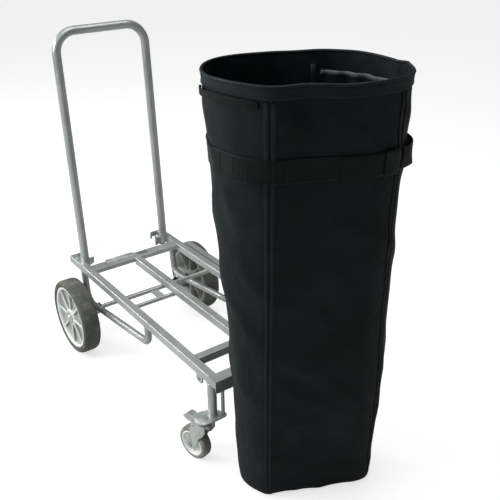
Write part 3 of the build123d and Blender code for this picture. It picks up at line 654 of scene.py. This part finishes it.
def clothPoint(around, height, lift=0.0):
    # the bag's outer surface: the outline with its creases, dents and wavy rim
    spot, out = outlineAt(around, height)
    share = height / bag["height"]
    place = around % 8
    push = 0.0
    for depth, centre, width in drape["corner"]:
        push += depth * hump(centre, width, place)
    for depth, centre, width, first, full in drape["hollows"]:
        push += depth * hump(centre, width, place) * smoothStep(first, full, share)
    for depth, centre, width, middle, spread in drape["dents"]:
        push += depth * hump(centre, width, place) * hump(middle, spread, share)
    # along is measured across the front face, deep is at right angles to it
    most, least = drape["slant"]
    along, deep = spot.x * most - spot.y * least, spot.x * least + spot.y * most
    swing, x, y, z = drape["wave"]
    folds = swing * noise.noise(Vector((spot.x * x, spot.y * y, spot.z * z)))
    swing, x, y, z = drape["ripple"]
    folds += swing * noise.noise(Vector((along * x + spot.z * drape["rippleLean"], deep * y, spot.z * z)))
    swing, x, y, z = drape["crease"]
    leanX, leanY, leanZ = drape["creaseLean"]
    ridge = noise.noise(Vector((along * x + spot.z * leanX, deep * y + spot.z * leanY,
                                spot.z * z - along * leanZ)))
    folds += swing * max(1 - abs(ridge) * 2, 0) ** 3
    push += (1 - drape["calm"] * smoothStep(drape["calmFrom"], 1.0, share)) * folds
    lean = spot + out * (push + lift)
    rim = drape["rimSwing"] * math.sin(place * math.pi / 2 + drape["rimPhase"])
    rim += drape["rimNoise"] * noise.noise(Vector((place * drape["rimLumps"], 4.2, 0)))
    lean.z += rim * smoothStep(drape["rimFrom"], 1.0, share)
    return lean


def aroundSteps(start=0.0, end=8.0, density=1.0):
    # evenly spaced places round the outline, close together on the corners
    steps = []
    for index, count in enumerate(bag["counts"] * 2):
        total = max(2, round(count * density))
        steps += [index + i / total for i in range(total)]
    return [s for s in steps if start <= s < end]


def evenSteps(low, high, count):
    return [low + (high - low) * i / count for i in range(count + 1)]


def bandMesh(places, heights, lift, closed=False):
    # a strip of cloth that follows the bag: a grid bent on to its surface
    bm = bmesh.new()
    uvLayer = bm.loops.layers.uv.new("cloth")
    columns, rows = len(places), len(heights)
    rings = []
    for height in heights:
        rings.append([bm.verts.new(clothPoint(a, height, lift(a, height) if callable(lift) else lift))
                      for a in places])
    lengths = [0.0]
    for i in range(1, columns + 1):
        step = (rings[-1][i % columns].co - rings[-1][i - 1].co).length
        lengths.append(lengths[-1] + step)
    for j in range(rows - 1):
        for i in range(columns if closed else columns - 1):
            k = (i + 1) % columns
            face = bm.faces.new((rings[j][i], rings[j][k], rings[j + 1][k], rings[j + 1][i]))
            spots = ((lengths[i], heights[j]), (lengths[i + 1], heights[j]),
                     (lengths[i + 1], heights[j + 1]), (lengths[i], heights[j + 1]))
            for loop, uv in zip(face.loops, spots):
                loop[uvLayer].uv = uv
    return bm


def makeShell():
    heights = evenSteps(bag["lowest"], top - bag["belowTop"], bag["levels"])
    bm = bandMesh(aroundSteps(), heights, 0.0, closed=True)
    # the bottom: the lowest ring is drawn in to a flat floor panel
    foot = [e for e in bm.edges if e.is_boundary and all(v.co.z < 10 * mm for v in e.verts)]
    bottom = bmesh.ops.contextual_create(bm, geom=foot)["faces"]
    bmesh.ops.inset_region(bm, faces=bottom, thickness=bag["bottomBorder"])
    bmesh.ops.triangulate(bm, faces=[f for f in bm.faces if len(f.verts) > 4])
    shell = finishPiece(bm, "bagShell", finishes["cloth"], "bag", ["bag_shell"])
    addModifier(shell, "clothThickness", "SOLIDIFY", thickness=bag["cloth"], offset=-1)
    subdivide(shell, 1)


def makeStrip(name, finish, places, heights, lift, thickness, offset=1, stands=(), closed=False,
              levels=1):
    # cloth, tape or webbing sewn on the bag, thickened outwards unless the offset says otherwise
    bm = bandMesh(places, heights, lift, closed)
    strip = finishPiece(bm, name, finishes[finish], "bag", stands)
    addModifier(strip, "clothThickness", "SOLIDIFY", thickness=thickness, offset=offset)
    if levels:
        subdivide(strip, levels)


# a wide tape round the mouth
hem = {"height": 28 * mm, "belowTop": 2 * mm, "rows": 5, "lift": 0.3 * mm, "thickness": 1.8 * mm}
# the rolled edge that keeps the mouth open
piping = {"radius": 3.4 * mm, "sides": 8, "belowTop": 3 * mm, "lift": 0.4 * mm}


def makeHem():
    heights = evenSteps(top - hem["height"], top - hem["belowTop"], hem["rows"])
    makeStrip("bagHem", "tape", aroundSteps(), heights, hem["lift"], hem["thickness"],
              stands=["bag_hem"], closed=True)


def makeRimPiping():
    bm = bmesh.new()
    sides, radius = piping["sides"], piping["radius"]
    height = top - piping["belowTop"]
    turns = evenSteps(0, 2 * math.pi, sides)[:-1]
    section = [(radius * math.cos(turn), radius * math.sin(turn)) for turn in turns]
    rings = []
    for a in aroundSteps():
        spot = clothPoint(a, height, piping["lift"])
        out = outlineAt(a, height)[1]
        rings.append([bm.verts.new(spot + out * away + Vector((0, 0, rise))) for away, rise in section])
    for i, ring in enumerate(rings):
        following = rings[(i + 1) % len(rings)]
        for k in range(sides):
            n = (k + 1) % sides
            bm.faces.new((ring[k], following[k], following[n], ring[n]))
    uvLayer = bm.loops.layers.uv.new("cloth")
    for face in bm.faces:
        for loop in face.loops:
            loop[uvLayer].uv = (loop.vert.co.x + loop.vert.co.y, loop.vert.co.z)
    finishPiece(bm, "bagRimPiping", finishes["tape"], "bag")


# a pair of narrow tapes down each corner with a groove between them
binding = {
    "corners": {"FrontLeft": bag["seam"], "FrontRight": 2.5, "BackRight": 4.5, "BackLeft": 6.5},
    "fromMiddle": 0.032, "halfWidth": 0.021, "low": 16 * mm, "belowTop": 30 * mm, "rows": 60,
    "lift": 0.5 * mm, "thickness": 1.3 * mm,
    "stitchLow": 24 * mm, "stitchBelowTop": 34 * mm, "stitchLift": 2.1 * mm,
}


def makeBindings():
    # returns the rows of stitches down the tapes
    rows = []
    heights = evenSteps(binding["low"], top - binding["belowTop"], binding["rows"])
    for corner, place in binding["corners"].items():
        for side, word in ((-1, "A"), (1, "B")):
            middle = place + side * binding["fromMiddle"]
            places = evenSteps(middle - binding["halfWidth"], middle + binding["halfWidth"], 3)
            makeStrip(f"bagBinding{corner}{word}", "tape", places, heights, binding["lift"],
                      binding["thickness"])
            rows.append(((middle, binding["stitchLow"]), (middle, top - binding["stitchBelowTop"]),
                         binding["stitchLift"]))
    return rows


# webbing round the bag, a second layer over the right half, a keeper and a loop that stands out
belt = {
    "low": top - 0.196, "high": top - 0.142, "rows": 6, "lift": 0.8 * mm, "thickness": 1.6 * mm, "inset": 2 * mm,
    "overlap": (1.72, 2.5), "overlapLift": 2.8 * mm, "overlapThickness": 1.8 * mm,
    "keeper": (2.24, 2.46), "keeperLift": 4.8 * mm, "keeperThickness": 2.2 * mm,
    "loop": (2.49, 3.01), "loopFoot": 3 * mm, "loopBow": 9 * mm, "loopThickness": 1.8 * mm,
    "stitchInset": 4 * mm, "stitchLift": 3.0 * mm,
    "crossLift": 3.2 * mm, "crossPlaces": (0.28, 0.47, 0.63, 1.0, 5.5),
}


def beltLoopLift(around, height):
    return belt["loopFoot"] + belt["loopBow"] * archOver(2.5, 0.5, around)


def makeBelt():
    low, high, inset = belt["low"], belt["high"], belt["inset"]
    inner = evenSteps(low + inset, high - inset, belt["rows"])
    outer = evenSteps(low - inset, high + inset, belt["rows"])
    makeStrip("bagBelt", "webbing", aroundSteps(), evenSteps(low, high, belt["rows"]), belt["lift"],
              belt["thickness"], stands=["bag_belt"], closed=True)
    makeStrip("bagBeltOverlap", "webbing", aroundSteps(*belt["overlap"], 1.5), inner,
              belt["overlapLift"], belt["overlapThickness"])
    makeStrip("bagBeltKeeper", "webbing", aroundSteps(*belt["keeper"], 2), outer,
              belt["keeperLift"], belt["keeperThickness"])
    makeStrip("bagBeltLoop", "webbing", aroundSteps(*belt["loop"], 2), inner, beltLoopLift,
              belt["loopThickness"])


# webbing across each end below the hem, bowed off the cloth
grip = {
    "starts": {"Left": -0.75, "Right": 3.25}, "length": 1.5, "low": top - 46 * mm, "high": top - 29 * mm,
    "foot": 1 * mm, "bow": 6 * mm, "thickness": 1.8 * mm,
}


def makeGrips():
    heights = evenSteps(grip["low"], grip["high"], 4)
    for word, start in grip["starts"].items():
        def gripLift(around, height, start=start):
            return grip["foot"] + grip["bow"] * archOver(start, grip["length"], around) ** 0.6
        makeStrip(f"bagGrip{word}", "webbing", evenSteps(start, start + grip["length"], 34), heights,
                  gripLift, grip["thickness"], stands=["bag_grips"] if word == "Left" else ())


# inside: seam tapes, a loose gathered pocket and a sagging lining flap, the last two with a pale bound edge
innerSeam = {"places": {"Back": 5.16, "Side": 7.5}, "halfWidth": 0.04, "low": 0.5, "belowTop": 30 * mm,
             "lift": -3.4 * mm, "thickness": 1.2 * mm}
pocket = {"span": (3.7, 5.05), "steps": 46, "low": 0.24, "high": 0.045, "rows": 16, "edgeLow": 0.052,
          "edgeHigh": 0.043, "lift": -12 * mm, "gather": 7 * mm, "gatherFrom": 0.25, "gatherTo": 0.05,
          "thickness": 1.2 * mm, "edgeThickness": 2.6 * mm}
flap = {"span": (1.25, 2.45), "steps": 40, "low": 0.2, "high": 0.03, "rows": 14, "edgeLow": 0.036,
        "edgeHigh": 0.024, "lift": -5 * mm, "sag": 26 * mm, "wave": 3 * mm, "sagFrom": 0.2, "sagTo": 0.02,
        "thickness": 1.2 * mm, "edgeThickness": 2.4 * mm}


def pocketLift(around, height):
    gather = math.sin(around * 21) * 0.5 + noise.noise(Vector((around * 5, height * 14, 1.5)))
    growth = smoothStep(top - pocket["gatherFrom"], top - pocket["gatherTo"], height)
    return pocket["lift"] - pocket["gather"] * gather * growth


def flapLift(around, height):
    first, last = flap["span"]
    sag = flap["sag"] * archOver(first, last - first, around) + flap["wave"] * math.sin(around * 9)
    return flap["lift"] - sag * smoothStep(top - flap["sagFrom"], top - flap["sagTo"], height)


def makeInside():
    for word, place in innerSeam["places"].items():
        places = evenSteps(place - innerSeam["halfWidth"], place + innerSeam["halfWidth"], 3)
        makeStrip(f"bagInnerSeam{word}", "tape", places,
                  evenSteps(innerSeam["low"], top - innerSeam["belowTop"], 30), innerSeam["lift"],
                  innerSeam["thickness"], 0, levels=0)
    for panel, lift, name, edgeName in ((pocket, pocketLift, "bagInnerPocket", "bagPocketEdge"),
                                        (flap, flapLift, "bagLiningFlap", "bagFlapEdge")):
        places = evenSteps(*panel["span"], panel["steps"])
        heights = evenSteps(top - panel["low"], top - panel["high"], panel["rows"])
        makeStrip(name, "cloth", places, heights, lift, panel["thickness"], 0)
        makeStrip(edgeName, "greyLining", places,
                  evenSteps(top - panel["edgeLow"], top - panel["edgeHigh"], 2), lift, panel["edgeThickness"], 0,
                  levels=0)


stitch = {"length": 4.0 * mm, "gap": 2.4 * mm, "width": 0.8 * mm, "samples": 160,
          "hemRows": (24 * mm, 8 * mm), "hemLift": 2.6 * mm}


def makeStitches(name, rows):
    # short raised threads in rows; a row is (start, end, lift) with points as (around, height)
    bm = bmesh.new()
    for start, end, lift in rows:
        points = [clothPoint(start[0] + (end[0] - start[0]) * t, start[1] + (end[1] - start[1]) * t, lift)
                  for t in evenSteps(0, 1, stitch["samples"])]
        travelled, laid = 0.0, 0.0
        for before, after in zip(points, points[1:]):
            travelled += (after - before).length
            if travelled < laid:
                continue
            laid = travelled + stitch["length"] + stitch["gap"]
            along = (after - before).normalized()
            side = along.cross(Vector((0, 0, 1)))
            side = side.normalized() if side.length > 0.1 else Vector((1, 0, 0))
            across = along.cross(side).normalized()
            basis = Matrix((along * stitch["length"], side * stitch["width"], across * stitch["width"]))
            cube = bmesh.ops.create_cube(bm, size=1.0)["verts"]
            bmesh.ops.transform(bm, matrix=Matrix.Translation(after) @ basis.transposed().to_4x4(), verts=cube)
    finishPiece(bm, name, finishes["thread"], "bag", smooth=False)


def makeStitching(bindingRows):
    hemRows = [((0, top - drop), (8, top - drop), stitch["hemLift"]) for drop in stitch["hemRows"]]
    makeStitches("bagSeamStitching", bindingRows + hemRows)
    low, high = belt["low"] + belt["stitchInset"], belt["high"] - belt["stitchInset"]
    beltRows = [((0, z), (8, z), belt["stitchLift"]) for z in (low, high)]
    beltRows += [((a, low), (a, high), belt["crossLift"]) for a in belt["crossPlaces"]]
    makeStitches("bagBeltStitching", beltRows)


makeShell()
makeHem()
makeRimPiping()
bindingRows = makeBindings()
makeBelt()
makeGrips()
makeInside()
makeStitching(bindingRows)
print("bag made")


# floor, light and camera
stage = {
    "floor": 30, "paper": "#b4b5b3",
    # the paper's glow in the light that it throws and in the camera's eyes
    "glow": {"To Min": 0.10, "To Max": 0.68},
    # the room as the cart sees it, from away from the main light to facing it; the camera sees a plain pale one
    "towardsLight": (-0.5, 0.2, 0.84),
    "room": [(0.0, "#3c3e3e"), (0.3, "#5f6161"), (0.65, "#a9abab"), (1.0, "#eceded")],
    "seenRoom": "#f1f2f1", "aim": (0, -0.1, 0.4),
    "lamps": {
        "softLeft": {"place": (-2.7, 1.0, 1.9), "size": 1.2, "power": 62},
        "edgeBack": {"place": (-1.7, 3.3, 2.1), "size": 0.8, "power": 46},
        "softTop": {"place": (0.2, -0.2, 3.4), "size": 2.0, "power": 46},
    },
}


def makeFloor():
    # matt studio paper that reads as near white, yet throws only a little light back up
    bm = bmesh.new()
    bmesh.ops.create_grid(bm, x_segments=1, y_segments=1, size=stage["floor"])
    mesh = bpy.data.meshes.new("studioFloor")
    bm.to_mesh(mesh)
    bm.free()
    floor = linked("studioFloor", mesh)
    material, tree, shader = newMaterial("paleStudioPaper", stage["paper"], 0.9)
    path = addNode(tree, "ShaderNodeLightPath")
    glow = addNode(tree, "ShaderNodeMapRange", stage["glow"], {"Value": (path, "Is Camera Ray")})
    tree.links.new(glow.outputs["Result"], shader.inputs["Emission Strength"])
    shader.inputs["Emission Color"].default_value = linearColour("#ffffff")
    mesh.materials.append(material)


def makeRoom():
    # the room is dim at the horizon and bright overhead, which draws dark streaks down the tubes
    world = bpy.data.worlds.new("studioLight")
    bpy.context.scene.world = world
    world.use_nodes = True
    tree = world.node_tree
    backdrop = tree.nodes["Background"]
    backdrop.inputs["Strength"].default_value = 1.0
    sky = addNode(tree, "ShaderNodeTexCoord")
    toLight = addNode(tree, "ShaderNodeVectorMath", {"operation": "DOT_PRODUCT", 1: stage["towardsLight"]},
                      {0: (sky, "Generated")})
    tone = colourRamp(tree, toLight, "Value", stage["room"])
    path = addNode(tree, "ShaderNodeLightPath")
    seen = addNode(tree, "ShaderNodeMix", {"data_type": "RGBA", 7: linearColour(stage["seenRoom"])},
                   {"Factor": (path, "Is Camera Ray"), 6: (tone, "Color")})
    tree.links.new(seen.outputs[2], backdrop.inputs["Color"])
    bpy.context.scene.view_settings.view_transform = "Standard"


def makeLamps():
    for name, lamp in stage["lamps"].items():
        light = bpy.data.lights.new(name, "AREA")
        light.energy = lamp["power"]
        light.size = lamp["size"]
        holder = linked(name, light)
        holder.location = lamp["place"]
        aim = Vector(stage["aim"]) - holder.location
        holder.rotation_euler = aim.to_track_quat("-Z", "Y").to_euler()


# angles in degrees; the lens and the sensor in millimetres
view = {"place": (-1.00025, -1.53383, 1.419), "azimuth": -36.28, "elevation": 25.93, "roll": -0.35,
        "lens": 52.4, "sensor": 36, "shiftY": -0.016, "near": 0.05}


def makeCamera():
    camera = bpy.data.cameras.new("camera")
    camera.lens = view["lens"]
    camera.sensor_width = view["sensor"]
    camera.shift_y = view["shiftY"]
    camera.clip_start = view["near"]
    holder = linked("camera", camera)
    turn = Matrix.Rotation(math.radians(view["azimuth"]), 4, "Z")
    tilt = Matrix.Rotation(math.radians(90 - view["elevation"]), 4, "X")
    roll = Matrix.Rotation(math.radians(view["roll"]), 4, "Z")
    holder.matrix_world = Matrix.Translation(view["place"]) @ turn @ tilt @ roll
    bpy.context.scene.camera = holder


makeFloor()
makeRoom()
makeLamps()
makeCamera()
print("stage made")
